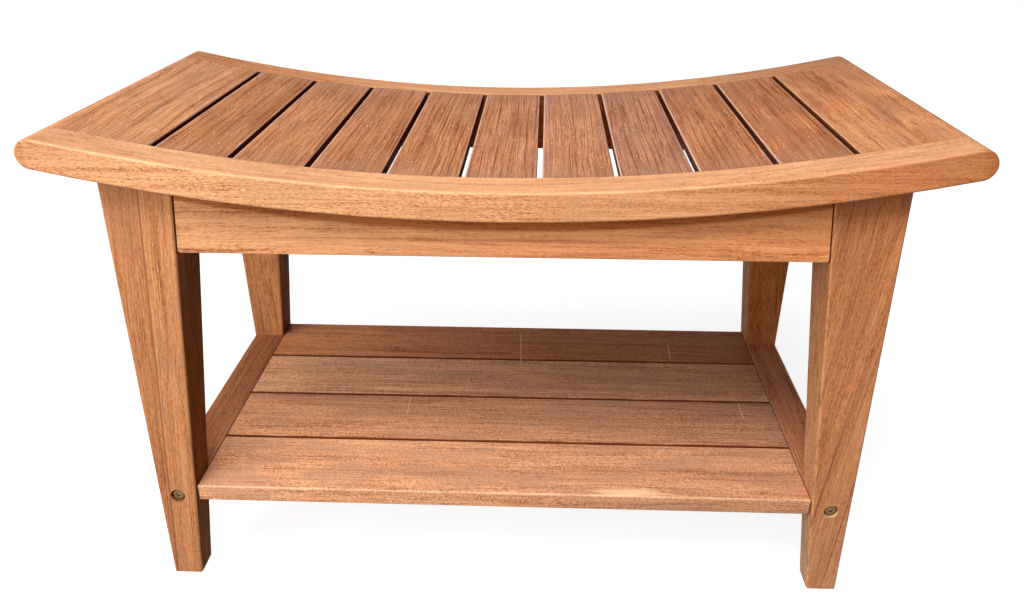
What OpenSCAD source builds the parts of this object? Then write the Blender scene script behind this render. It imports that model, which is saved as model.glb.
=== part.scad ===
// Teak shower bench: a slatted seat curved like a shallow dish, four tapered legs and a low shelf.
// Millimetres. The origin is on the floor under the middle of the bench,
// with +X to the right, +Y to the back and +Z up.

/* [Seat] */
// Length of the seat, end to end
seat_length = 760; // [630:1:920]
// Depth of the seat, front to back
seat_depth = 390; // [325:1:470]
// Height of the seat's top at its lowest point, the middle
seat_height = 409; // [340:1:492]
// Radius of the seat's curved top, seen from the front
seat_radius = 1750; // [1450:10:4000]
// Thickness of the long seat rails and the end boards
rail_thick = 25; // [20:0.5:32]
// Width of a long seat rail, front to back
rail_width = 40; // [33:0.5:50]
// Width of each end board, along X
end_board_width = 91; // [75:0.5:110]
// Thickness of the narrow slats
slat_thick = 10; // [8.5:0.5:12]
// Gap between neighbouring seat boards
slat_gap = 4.5; // [3:0.1:8]

/* [Seat joints] */
// Length of a slat's tenon, into the rail
slat_tenon_length = 8; // [5:0.5:10]
// Thickness of a slat's tenon, flush with the slat's underside
slat_tenon_thick = 5; // [4:0.5:6]
// Shoulder on each long edge of a slat's tenon
slat_shoulder = 5; // [3:0.5:8]
// Length of an end board's tenon
board_tenon_length = 20; // [12:0.5:26]
// Thickness of an end board's tenon
board_tenon_thick = 8; // [6:0.5:10]
// Width of an end board's tenon
board_tenon_width = 50; // [35:0.5:60]

/* [Legs] */
// Distance from the end of the seat to the outer side of a leg
leg_end_inset = 52; // [43:0.5:64]
// Distance from the seat's long edge to the face of a leg
leg_face_inset = 18; // [12:0.5:22]
// Side of a leg's square foot
leg_foot = 28; // [23:0.5:34]
// Side of a leg's square head, under the seat
leg_head = 62; // [52:0.5:75]
// Radius of a leg's long edges
leg_edge = 2.5; // [1:0.1:4]
// Height of the bevel round the foot
foot_bevel = 1.5; // [0.5:0.1:3]

/* [Aprons] */
// Height of the front and rear aprons at the middle of the bench
apron_height = 38; // [32:0.5:50]
// Thickness of the aprons and of the upper side rails
apron_thick = 16; // [14:0.5:20]
// How far the aprons and upper side rails sit behind the legs' outer faces
apron_set_back = 2; // [0:0.1:4]
// Open joint line between a leg and an apron or upper side rail
joint_line = 0.8; // [0.2:0.1:1.5]
// Bevel on an apron's lower corners
apron_corner = 2; // [1:0.5:6]

/* [Shelf] */
// Height of the shelf's top
shelf_height = 105; // [90:1:200]
// Thickness of a shelf plank
plank_thick = 16.5; // [13.5:0.5:20]
// Gap between neighbouring shelf planks
plank_gap = 2.5; // [1:0.1:6]
// How far the shelf's long edges sit behind the legs' faces
shelf_set_back = 3; // [1:0.5:12]
// Length of a plank's tongue, into the lower side rail
tongue_length = 8; // [5:0.5:10]
// Thickness of a plank's tongue
tongue_thick = 6; // [4:0.5:8]
// Shoulder between a plank's tongue and the plank's edge or the leg
tongue_shoulder = 8; // [5:0.5:12]
// Thickness of a lower side rail
lower_rail_thick = 20; // [17:0.5:26]
// Width of the batten under the middle of the shelf
batten_width = 40; // [30:1:60]
// Thickness of the batten
batten_thick = 14; // [12:0.5:18]
// Distance from the shelf's long edge to the end of the batten
batten_set_back = 21; // [15:0.5:30]

/* [Edges] */
// Radius of the seat rails' outer edges
rail_edge = 2; // [1:0.1:4]
// Radius of the edges of narrow slats, planks, rails and battens
board_edge = 1.2; // [0.5:0.1:2]
// Radius of the shelf's outer long edges
nose_edge = 1.6; // [1:0.1:4]

/* [Fasteners] */
// Diameter of a connector bolt's shank
bolt_shank = 6; // [5:0.5:6]
// Length of a connector bolt under its head
bolt_length = 60; // [50:1:72]
// Diameter of a connector bolt's head
bolt_head = 11.5; // [10:0.5:12]
// Thickness of a connector bolt's head
bolt_head_thick = 3; // [2:0.5:4]
// Width across flats of the bolt's hexagon socket
bolt_socket = 3; // [2.5:0.5:5]
// Depth of the bolt's hexagon socket
bolt_socket_depth = 1.5; // [1:0.1:2.5]
// Diameter of the counterbore round a bolt's head
bolt_counterbore = 13.5; // [13:0.5:16]
// Depth of that counterbore
bolt_counterbore_depth = 5; // [4:0.5:9]
// Diameter of a barrel nut
nut_diameter = 10; // [8:0.5:12]
// Length of a barrel nut
nut_length = 12; // [10:0.5:13]
// Length of bolt that stands past the middle of its barrel nut
nut_overrun = 8; // [5:0.5:12]
// Diameter of a dowel
dowel_diameter = 8; // [6:0.5:9]
// Length of a dowel
dowel_length = 32; // [24:1:40]
// Height from the aprons' lower edge to the lower dowels
dowel_low = 16; // [12:0.5:20]
// Height between the lower and upper dowels
dowel_spacing = 22; // [16:0.5:26]
// Diameter of a seat screw's shank
seat_screw = 4.5; // [3.5:0.5:5]
// Diameter of a seat screw's head
seat_screw_head = 8; // [7:0.5:9]
// Thickness of a seat screw's head
seat_screw_head_thick = 3; // [2:0.5:4]
// Length of a seat screw inside the apron
seat_screw_grip = 20; // [16:0.5:26]
// Length of a seat screw inside the seat
seat_screw_bite = 14; // [10:0.5:15]
// Distance from the middle of an apron to its outer seat screws
apron_screw_offset = 150; // [100:1:190]
// Distance from the middle of an upper side rail to its seat screws
side_screw_offset = 60; // [40:1:75]
// Diameter of a shelf screw's shank
shelf_screw = 4; // [3:0.5:5]
// Diameter of a shelf screw's countersunk head
shelf_screw_head = 8; // [7:0.5:9]
// Height of that head
shelf_screw_head_height = 2.5; // [2:0.1:3]
// Length of a shelf screw
shelf_screw_length = 26; // [22:0.5:28]
// Distance between the two shelf screws in a plank
shelf_screw_spacing = 28; // [20:1:32]
// Width across the cross recess in a screw's head
recess_span = 4.4; // [3:0.1:5]
// Width of each slot of that recess
recess_slot = 1.1; // [0.8:0.1:1.6]
// Depth of that recess
recess_depth = 1.4; // [0.8:0.1:1.7]

/* [Fits] */
// Clearance round a tenon or tongue in its mortise
mortise_fit = 0.15; // [0.05:0.05:0.4]
// Clearance at the bottom of a mortise or blind hole
end_fit = 0.5; // [0.2:0.1:2]
// Radial clearance round a bolt, nut or screw in its hole
hole_fit = 0.2; // [0.1:0.05:0.4]
// Gap between a plank's end and the leg or lower side rail
plank_fit = 0.4; // [0.2:0.1:1]

/* [Hidden] */

$fn = 96;
arc_fn = 256;        // facets of the seat's large circles
corner_fn = 32;      // facets of the leg's rounded corners
over = 1;            // how far a cutter runs past the wall it cuts

rail_tone = "#d2955f";
slat_tone = "#b97a50";
leg_tone = "#bd8150";
apron_tone = "#cd8e5a";
shelf_tone = "#b57950";
dowel_tone = "#dcb98a";
brass_tone = "#a58f4f";
steel_tone = "#b8babd";

// The seat is an arc about a level line that runs front to back, far above the bench.
slat_count = 9;
arc_z = seat_height + seat_radius;
under_radius = seat_radius + rail_thick;
mid_radius = seat_radius + rail_thick / 2;
end_angle = asin((seat_length / 2 - rail_thick / 2) / mid_radius);
board_angle = asin((seat_length / 2 - end_board_width) / seat_radius);
board_middle = (board_angle + end_angle) / 2;
gap_angle = slat_gap / seat_radius * 180 / PI;
slat_angle = (2 * board_angle - (slat_count + 1) * gap_angle) / slat_count;
slat_width = 2 * seat_radius * tan(slat_angle / 2);
slat_end = seat_depth / 2 - rail_width;

// Each leg tapers on its two inner sides; its outer sides are plumb.
leg_x = seat_length / 2 - leg_end_inset;
leg_y = seat_depth / 2 - leg_face_inset;
leg_blank = under_z(leg_x) + over;

// Aprons and upper side rails stand between the legs, right under the seat.
apron_bottom = seat_height - rail_thick - apron_height;
apron_y = leg_y - apron_set_back - apron_thick;
side_rail_x = leg_x - apron_set_back - apron_thick;
blank_top = leg_blank + over;
dowel_heights = [apron_bottom + dowel_low, apron_bottom + dowel_low + dowel_spacing];
seat_screw_y = apron_y + apron_thick / 2;
seat_screw_x = side_rail_x + apron_thick / 2;

// The lower side rails are as wide as the legs are at the shelf's height.
plank_count = 4;
lower_rail_bottom = shelf_height - lower_rail_thick;
lower_rail_x = leg_inner_x(shelf_height);
lower_rail_width = leg_x - apron_set_back / 2 - lower_rail_x;
lower_rail_end = leg_y - leg_side(lower_rail_bottom);
shelf_edge = leg_y - shelf_set_back;
plank_width = (2 * shelf_edge - (plank_count - 1) * plank_gap) / plank_count;
plank_end = lower_rail_x - plank_fit;
plank_bottom = shelf_height - plank_thick;
tongue_bottom = plank_bottom + (plank_thick - tongue_thick) / 2;
batten_bottom = plank_bottom - batten_thick;
batten_end = shelf_edge - batten_set_back;

// A connector bolt runs through the middle of the leg into the end of the lower side rail.
bolt_z = shelf_height - lower_rail_thick / 2;
bolt_x = leg_x - leg_side(bolt_z) / 2;
bolt_seat_y = leg_y - bolt_counterbore_depth;
bolt_tip_y = bolt_seat_y - bolt_length;
nut_y = bolt_tip_y + nut_overrun;
bolt_hole = bolt_shank + 2 * hole_fit;
nut_hole = nut_diameter + 2 * hole_fit;

// Height of the seat's underside at a distance x from the middle
function under_z(x) = arc_z - sqrt(under_radius * under_radius - x * x);

// Side of a leg's square section at height z
function leg_side(z) = leg_foot + (leg_head - leg_foot) * (z - foot_bevel) / (leg_blank - foot_bevel);

// Distance from the middle of the bench to a leg's inner side at height z
function leg_inner_x(z) = leg_x - leg_side(z);
function leg_inner_y(z) = leg_y - leg_side(z);

// Angle of the middle of slat n, counted from the left
function slat_middle(n) = -board_angle + n * gap_angle + (n - 0.5) * slat_angle;

// Front edge of plank n, counted from the front
function plank_front(n) = -shelf_edge + (n - 1) * (plank_width + plank_gap);

// Distance of a shelf screw from the middle of the bench, in plank n, on one side of the plank
function shelf_screw_y(n, side) = plank_front(n) + (plank_width + side * shelf_screw_spacing) / 2;

// Where plank n's tongue starts and stops, clear of the legs
function tongue_start(n) = max(plank_front(n), -lower_rail_end) + tongue_shoulder;
function tongue_stop(n) = min(plank_front(n) + plank_width, lower_rail_end) - tongue_shoulder;

// ---- Placing ----

// Draws a flat shape in the X-Z plane and gives it depth from y0 to y1
module across(y0, y1) {
    translate([0, y1, 0])
        rotate([90, 0, 0])
            linear_extrude(y1 - y0)
                children();
}

// Draws a flat shape in the Y-Z plane and gives it length from x0 to x1
module along(x0, x1) {
    translate([x0, 0, 0])
        rotate([90, 0, 90])
            linear_extrude(x1 - x0)
                children();
}

// Moves a flat shape to the seat's top at an angle from the middle, square to the curve
module on_arc(angle) {
    translate([0, arc_z])
        rotate(angle)
            translate([0, -seat_radius])
                children();
}

// Sweeps a flat shape along the seat's curve, from the seat's rounded left end inwards.
// The shape's own X runs across its thickness from the middle, and its own Y runs to the front.
module swept_from_end(angle) {
    translate([0, 0, arc_z])
        rotate([90, 0, 0])
            rotate(-90 - end_angle) {
                rotate_extrude(angle = angle, $fn = arc_fn)
                    translate([mid_radius, 0])
                        children();
                translate([mid_radius, 0, 0])
                    rotate(180)
                        rotate_extrude(angle = 180)
                            intersection() {
                                children();
                                translate([0, -seat_depth])
                                    square([rail_thick, 2 * seat_depth]);
                            }
            }
}

// Repeats a part drawn on one side at all the sides asked for
module on_sides(x_sides = [1], y_sides = [1]) {
    for (sx = x_sides, sy = y_sides)
        mirror([sx < 0 ? 1 : 0, 0, 0])
            mirror([0, sy < 0 ? 1 : 0, 0])
                children();
}

// ---- Shapes ----

// Rectangle with rounded corners, of one radius on the left and another on the right
module eased_rect(w, h, r_left, r_right) {
    translate([r_left, 0])
        square([w - r_left - r_right, h]);
    translate([0, r_left])
        square([w / 2, h - 2 * r_left]);
    translate([w / 2, r_right])
        square([w / 2, h - 2 * r_right]);
    for (y = [r_left, h - r_left])
        translate([r_left, y])
            circle(r_left);
    for (y = [r_right, h - r_right])
        translate([w - r_right, y])
            circle(r_right);
}

// Everything above the seat's underside, which trims the parts that stand under it
module seat_space() {
    across(-seat_depth, seat_depth)
        translate([0, arc_z])
            circle(under_radius, $fn = arc_fn);
}

// Left half of the front seat rail, before its joints are cut
module half_seat_rail() {
    intersection() {
        swept_from_end(end_angle + gap_angle)
            mirror([1, -1, 0])
                translate([slat_end, -rail_thick / 2])
                    eased_rect(rail_width, rail_thick, board_edge, rail_edge);
        translate([-seat_length, -seat_depth, 0])
            cube([seat_length, seat_depth, arc_z]);
    }
}

// Outline of a slat's tenon at the slat's place on the curve, grown by a clearance
module slat_tenon(n, fit) {
    w = slat_width - 2 * slat_shoulder;
    on_arc(slat_middle(n))
        translate([-w / 2 - fit, -slat_thick - fit])
            square([w + 2 * fit, slat_tenon_thick + 2 * fit]);
}

// Outline of the left end board's tenon, grown by a clearance
module board_tenon(fit) {
    on_arc(-board_middle)
        translate([-board_tenon_width / 2 - fit, -(rail_thick + board_tenon_thick) / 2 - fit])
            square([board_tenon_width + 2 * fit, board_tenon_thick + 2 * fit]);
}

// Round bar along Y or Z
module bar_y(x, z, y0, y1, d) {
    translate([x, y1, z])
        rotate([90, 0, 0])
            cylinder(h = y1 - y0, d = d);
}

module bar_z(x, y, z0, z1, d) {
    translate([x, y, z0])
        cylinder(h = z1 - z0, d = d);
}

// ---- Seat ----

// Front rail; the rear one is its mirror image
module seat_rail() {
    color(rail_tone)
        difference() {
            on_sides([-1, 1])
                half_seat_rail();
            across(-slat_end - slat_tenon_length - end_fit, -slat_end + over)
                for (n = [1 : slat_count])
                    slat_tenon(n, mortise_fit);
            across(-slat_end - board_tenon_length - end_fit, -slat_end + over)
                for (side = [0, 1])
                    mirror([side, 0])
                        board_tenon(mortise_fit);
            for (x = apron_screw_offset * [-1, 0, 1])
                bar_z(x, -seat_screw_y, under_z(x) - over, under_z(x) + seat_screw_bite, seat_screw);
        }
}

// Left end board; the right one is its mirror image
module seat_end_board() {
    tenon_end = slat_end + board_tenon_length;
    screw_foot = under_z(seat_screw_x);
    color(slat_tone)
        difference() {
            union() {
                swept_from_end(end_angle - board_angle)
                    translate([-rail_thick / 2, -slat_end])
                        square([rail_thick, 2 * slat_end]);
                across(-tenon_end, tenon_end)
                    board_tenon(0);
            }
            across(-slat_end - over, slat_end + over)
                for (drop = [0, rail_thick])
                    on_arc(-board_angle)
                        translate([0, -drop])
                            rotate(45)
                                square(board_edge * sqrt(2), center = true);
            for (y = side_screw_offset * [-1, 1])
                bar_z(-seat_screw_x, y, screw_foot - over, screw_foot + seat_screw_bite, seat_screw);
        }
}

module seat_slat(n) {
    tenon_end = slat_end + slat_tenon_length;
    color(slat_tone)
        union() {
            across(-slat_end, slat_end)
                on_arc(slat_middle(n))
                    translate([-slat_width / 2, -slat_thick])
                        eased_rect(slat_width, slat_thick, board_edge, board_edge);
            across(-tenon_end, tenon_end)
                slat_tenon(n, 0);
        }
}

// ---- Legs ----

// Tapered blank of the rear right leg, before its head is trimmed
module leg_blank_shape() {
    foot_in = leg_foot - 2 * leg_edge;
    head_in = leg_head - 2 * leg_edge;
    hull() {
        for (i = [0, 1], j = [0, 1]) {
            translate([leg_x - leg_edge - i * foot_in, leg_y - leg_edge - j * foot_in, 0])
                cylinder(h = foot_bevel, r1 = leg_edge / 2, r2 = leg_edge, $fn = corner_fn);
            translate([leg_x - leg_edge - i * head_in, leg_y - leg_edge - j * head_in, leg_blank])
                cylinder(h = over, r = leg_edge, $fn = corner_fn);
        }
    }
}

// Rear right leg; the others are its mirror images
module leg() {
    color(leg_tone)
        difference() {
            leg_blank_shape();
            seat_space();
            bar_y(bolt_x, bolt_z, leg_inner_y(bolt_z) - leg_foot, leg_y + over, bolt_hole);
            bar_y(bolt_x, bolt_z, bolt_seat_y, leg_y + over, bolt_counterbore);
            for (z = dowel_heights) {
                apron_dowel(z, end_fit);
                side_rail_dowel(z, end_fit);
            }
        }
}

// ---- Aprons and upper side rails ----

// Rear apron; the front one is its mirror image
module apron() {
    reach = leg_inner_x(apron_bottom) - joint_line;
    reach_bevel = leg_inner_x(apron_bottom + apron_corner) - joint_line;
    reach_top = leg_inner_x(blank_top) - joint_line;
    color(apron_tone)
        difference() {
            intersection() {
                across(apron_y - over, apron_y + apron_thick + over)
                    polygon([
                        [apron_corner - reach, apron_bottom],
                        [reach - apron_corner, apron_bottom],
                        [reach_bevel, apron_bottom + apron_corner],
                        [reach_top, blank_top],
                        [-reach_top, blank_top],
                        [-reach_bevel, apron_bottom + apron_corner]
                    ]);
                along(-leg_x, leg_x)
                    translate([apron_y, apron_bottom])
                        eased_rect(apron_thick, blank_top, board_edge, board_edge);
            }
            seat_space();
            for (x = apron_screw_offset * [-1, 0, 1])
                seat_screw_hole(x, seat_screw_y);
            on_sides([-1, 1])
                for (z = dowel_heights)
                    apron_dowel(z, end_fit);
        }
}

// Right upper side rail; the left one is its mirror image
module upper_side_rail() {
    reach = leg_inner_y(apron_bottom) - joint_line;
    reach_top = leg_inner_y(blank_top) - joint_line;
    color(apron_tone)
        difference() {
            intersection() {
                along(side_rail_x - over, side_rail_x + apron_thick + over)
                    polygon([
                        [-reach, apron_bottom],
                        [reach, apron_bottom],
                        [reach_top, blank_top],
                        [-reach_top, blank_top]
                    ]);
                across(-leg_y, leg_y)
                    translate([side_rail_x, apron_bottom])
                        eased_rect(apron_thick, blank_top, board_edge, board_edge);
            }
            seat_space();
            for (y = side_screw_offset * [-1, 1])
                seat_screw_hole(seat_screw_x, y);
            on_sides([1], [-1, 1])
                for (z = dowel_heights)
                    side_rail_dowel(z, end_fit);
        }
}

// ---- Shelf ----

// Tongues at both ends of plank n, or their mortises when a clearance is given
module tongues(n, fit, extra) {
    reach = plank_end + tongue_length + extra;
    along(-reach, reach)
        translate([tongue_start(n) - fit, tongue_bottom - fit])
            square([tongue_stop(n) - tongue_start(n) + 2 * fit, tongue_thick + 2 * fit]);
}

// Plank n, counted from the front
module shelf_plank(n) {
    front_edge = n == 1 ? nose_edge : board_edge;
    rear_edge = n == plank_count ? nose_edge : board_edge;
    color(shelf_tone)
        difference() {
            union() {
                along(-plank_end, plank_end)
                    translate([plank_front(n), plank_bottom])
                        eased_rect(plank_width, plank_thick, front_edge, rear_edge);
                tongues(n, 0, 0);
            }
            shelf_screws_in(n, 0);
        }
}

// Right lower side rail; the left one is its mirror image
module lower_side_rail() {
    reach = leg_inner_y(lower_rail_bottom);
    reach_top = leg_inner_y(shelf_height);
    color(shelf_tone)
        difference() {
            intersection() {
                along(lower_rail_x - over, leg_x + over)
                    polygon([
                        [-reach, lower_rail_bottom],
                        [reach, lower_rail_bottom],
                        [reach_top, shelf_height],
                        [-reach_top, shelf_height]
                    ]);
                across(-leg_y, leg_y)
                    translate([lower_rail_x, lower_rail_bottom])
                        eased_rect(lower_rail_width, lower_rail_thick, board_edge, board_edge);
            }
            for (n = [1 : plank_count])
                tongues(n, mortise_fit, end_fit);
            on_sides([1], [-1, 1]) {
                bar_y(bolt_x, bolt_z, bolt_tip_y - end_fit, leg_y, bolt_hole);
                bar_z(bolt_x, nut_y, lower_rail_bottom - over, bolt_z + nut_length / 2, nut_hole);
            }
        }
}

module shelf_batten() {
    color(shelf_tone)
        difference() {
            across(-batten_end, batten_end)
                translate([-batten_width / 2, batten_bottom])
                    eased_rect(batten_width, batten_thick, board_edge, board_edge);
            for (n = [1 : plank_count])
                shelf_screws_in(n, hole_fit);
        }
}

// ---- Fasteners ----

// Rear right connector bolt
module connector_bolt() {
    head_face = bolt_seat_y + bolt_head_thick;
    rim = bolt_head_thick / 4;
    difference() {
        union() {
            bar_y(bolt_x, bolt_z, bolt_tip_y, bolt_seat_y + over, bolt_shank);
            bar_y(bolt_x, bolt_z, bolt_seat_y, head_face - rim, bolt_head);
            translate([bolt_x, head_face, bolt_z])
                rotate([90, 0, 0])
                    cylinder(h = rim, d1 = bolt_head - 2 * rim, d2 = bolt_head);
        }
        translate([bolt_x, head_face + over, bolt_z])
            rotate([90, 0, 0])
                cylinder(h = bolt_socket_depth + over, d = bolt_socket / cos(30), $fn = 6);
    }
}

module connector_bolts() {
    color(brass_tone)
        on_sides([-1, 1], [-1, 1])
            connector_bolt();
}

module barrel_nuts() {
    color(brass_tone)
        on_sides([-1, 1], [-1, 1])
            difference() {
                bar_z(bolt_x, nut_y, bolt_z - nut_length / 2, bolt_z + nut_length / 2, nut_diameter);
                bar_y(bolt_x, bolt_z, nut_y - nut_diameter, nut_y + nut_diameter, bolt_shank);
            }
}

// Dowel between the rear apron and the rear right leg, lengthened at each end by a clearance
module apron_dowel(z, extra) {
    translate([leg_inner_x(z) - dowel_length / 2 - extra, seat_screw_y, z])
        rotate([0, 90, 0])
            cylinder(h = dowel_length + 2 * extra, d = dowel_diameter);
}

// Dowel between the right upper side rail and the rear right leg
module side_rail_dowel(z, extra) {
    middle = leg_inner_y(z);
    reach = dowel_length / 2 + extra;
    bar_y(seat_screw_x, z, middle - reach, middle + reach, dowel_diameter);
}

module apron_dowels() {
    color(dowel_tone)
        on_sides([-1, 1], [-1, 1])
            for (z = dowel_heights)
                apron_dowel(z, 0);
}

module side_rail_dowels() {
    color(dowel_tone)
        on_sides([-1, 1], [-1, 1])
            for (z = dowel_heights)
                side_rail_dowel(z, 0);
}

// Cutter for the cross recess in the head of an upright screw, whose lowest face is at this height
module cross_recess(x, y, z) {
    for (turn = [0, 90])
        translate([x, y, z + recess_depth / 2 - over / 2])
            rotate(turn)
                cube([recess_span, recess_slot, recess_depth + over], center = true);
}

// Seat screw, which comes up through an apron or side rail into the seat
module seat_screw_at(x, y) {
    seat = under_z(x) - seat_screw_grip;
    difference() {
        union() {
            bar_z(x, y, seat - over / 2, under_z(x) + seat_screw_bite, seat_screw);
            bar_z(x, y, seat - seat_screw_head_thick, seat, seat_screw_head);
        }
        cross_recess(x, y, seat - seat_screw_head_thick);
    }
}

// Its clearance hole and its counterbore, open at the lower edge
module seat_screw_hole(x, y) {
    seat = under_z(x) - seat_screw_grip;
    bar_z(x, y, seat - over, blank_top, seat_screw + 2 * hole_fit);
    bar_z(x, y, apron_bottom - over, seat, seat_screw_head + 2 * hole_fit);
}

module seat_screws() {
    color(steel_tone) {
        on_sides([1], [-1, 1])
            for (x = apron_screw_offset * [-1, 0, 1])
                seat_screw_at(x, seat_screw_y);
        on_sides([-1, 1])
            for (y = side_screw_offset * [-1, 1])
                seat_screw_at(seat_screw_x, y);
    }
}

// The two screws that come up through the batten into plank n, grown by a clearance
module shelf_screws_in(n, fit) {
    shank = shelf_screw + 2 * fit;
    head = shelf_screw_head + 2 * fit;
    for (side = [-1, 1])
        translate([0, shelf_screw_y(n, side), batten_bottom]) {
            cylinder(h = shelf_screw_length, d = shank);
            cylinder(h = shelf_screw_head_height, d1 = head, d2 = shank);
        }
}

module shelf_screws() {
    color(steel_tone)
        difference() {
            for (n = [1 : plank_count])
                shelf_screws_in(n, 0);
            for (n = [1 : plank_count], side = [-1, 1])
                cross_recess(0, shelf_screw_y(n, side), batten_bottom);
        }
}

// ---- Nodes ----

seat_rail();  // seat_rail_front
on_sides([1], [-1]) seat_rail();  // seat_rail_rear
seat_end_board();  // seat_end_board_left
on_sides([-1]) seat_end_board();  // seat_end_board_right
seat_slat(1);  // seat_slat_1
seat_slat(2);  // seat_slat_2
seat_slat(3);  // seat_slat_3
seat_slat(4);  // seat_slat_4
seat_slat(5);  // seat_slat_5
seat_slat(6);  // seat_slat_6
seat_slat(7);  // seat_slat_7
seat_slat(8);  // seat_slat_8
seat_slat(9);  // seat_slat_9
on_sides([-1], [-1]) leg();  // leg_front_left
on_sides([1], [-1]) leg();  // leg_front_right
on_sides([-1], [1]) leg();  // leg_rear_left
leg();  // leg_rear_right
on_sides([1], [-1]) apron();  // apron_front
apron();  // apron_rear
on_sides([-1]) upper_side_rail();  // upper_side_rail_left
upper_side_rail();  // upper_side_rail_right
on_sides([-1]) lower_side_rail();  // lower_side_rail_left
lower_side_rail();  // lower_side_rail_right
shelf_plank(1);  // shelf_plank_1
shelf_plank(2);  // shelf_plank_2
shelf_plank(3);  // shelf_plank_3
shelf_plank(4);  // shelf_plank_4
shelf_batten();
connector_bolts();
barrel_nuts();
apron_dowels();
side_rail_dowels();
seat_screws();
shelf_screws();
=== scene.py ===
"""Looks of a teak shower bench: teak boards, brass bolts, a pale floor and soft light from the front left.

Lengths are in mm and colours are linear, unless a line says otherwise.
A tint multiplies a board's own colour.
"""
import math

import bpy
from mathutils import Matrix, Vector


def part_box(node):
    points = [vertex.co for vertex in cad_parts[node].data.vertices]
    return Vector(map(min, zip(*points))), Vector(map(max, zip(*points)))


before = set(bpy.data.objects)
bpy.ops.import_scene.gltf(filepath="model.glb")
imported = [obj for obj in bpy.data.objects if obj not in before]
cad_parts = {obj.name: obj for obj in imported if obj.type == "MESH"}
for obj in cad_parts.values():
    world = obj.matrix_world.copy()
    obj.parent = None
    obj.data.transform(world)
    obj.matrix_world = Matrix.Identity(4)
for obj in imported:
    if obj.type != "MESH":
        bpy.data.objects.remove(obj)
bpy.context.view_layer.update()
scene = bpy.context.scene

MM = 0.001

# The seat is curved about a level axis along Y, ARC_Z above the floor. SEAT_R is the radius of its top.
ARC_Z = 2159.0
SEAT_R = 1750.0
# Half of the seat's length and depth, and the rails' thickness.
SEAT_HALF = 380.0
DEPTH_HALF = 195.0
RAIL_THICK = 25.0
# Where the slats end at the rails, and half of a slat's width.
SLAT_END = 155.0
SLAT_HALF = 29.75
# How far an end board's inner edge lies in from the seat's end, and the board's width along the curve.
END_BOARD_REACH = 91.0
END_BOARD_WIDTH = 93.0

# The legs' plumb outer faces, and how their inner faces taper with height.
LEG_X = 328.0
LEG_Y = 177.0
LEG_FOOT = 28.0
LEG_SLOPE = 34.0 / 414.1

# The front apron's lower edge, and how far its back lies behind the legs' faces.
APRON_BOTTOM = 346.0
APRON_BACK = 18.0

# The bolts' axes, the bottom of the bore that holds a head, the bore's radius and that of the head's socket.
BOLT_X = 310.2
BOLT_Z = 95.0
BOLT_SEAT_Y = 172.0
BORE_R = 6.75
SOCKET_R = 1.5

# Where the shelf's planks end, at the lower side rails' inner sides.
PLANK_HALF = 291.1


# ---- Shader nodes ----

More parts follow.
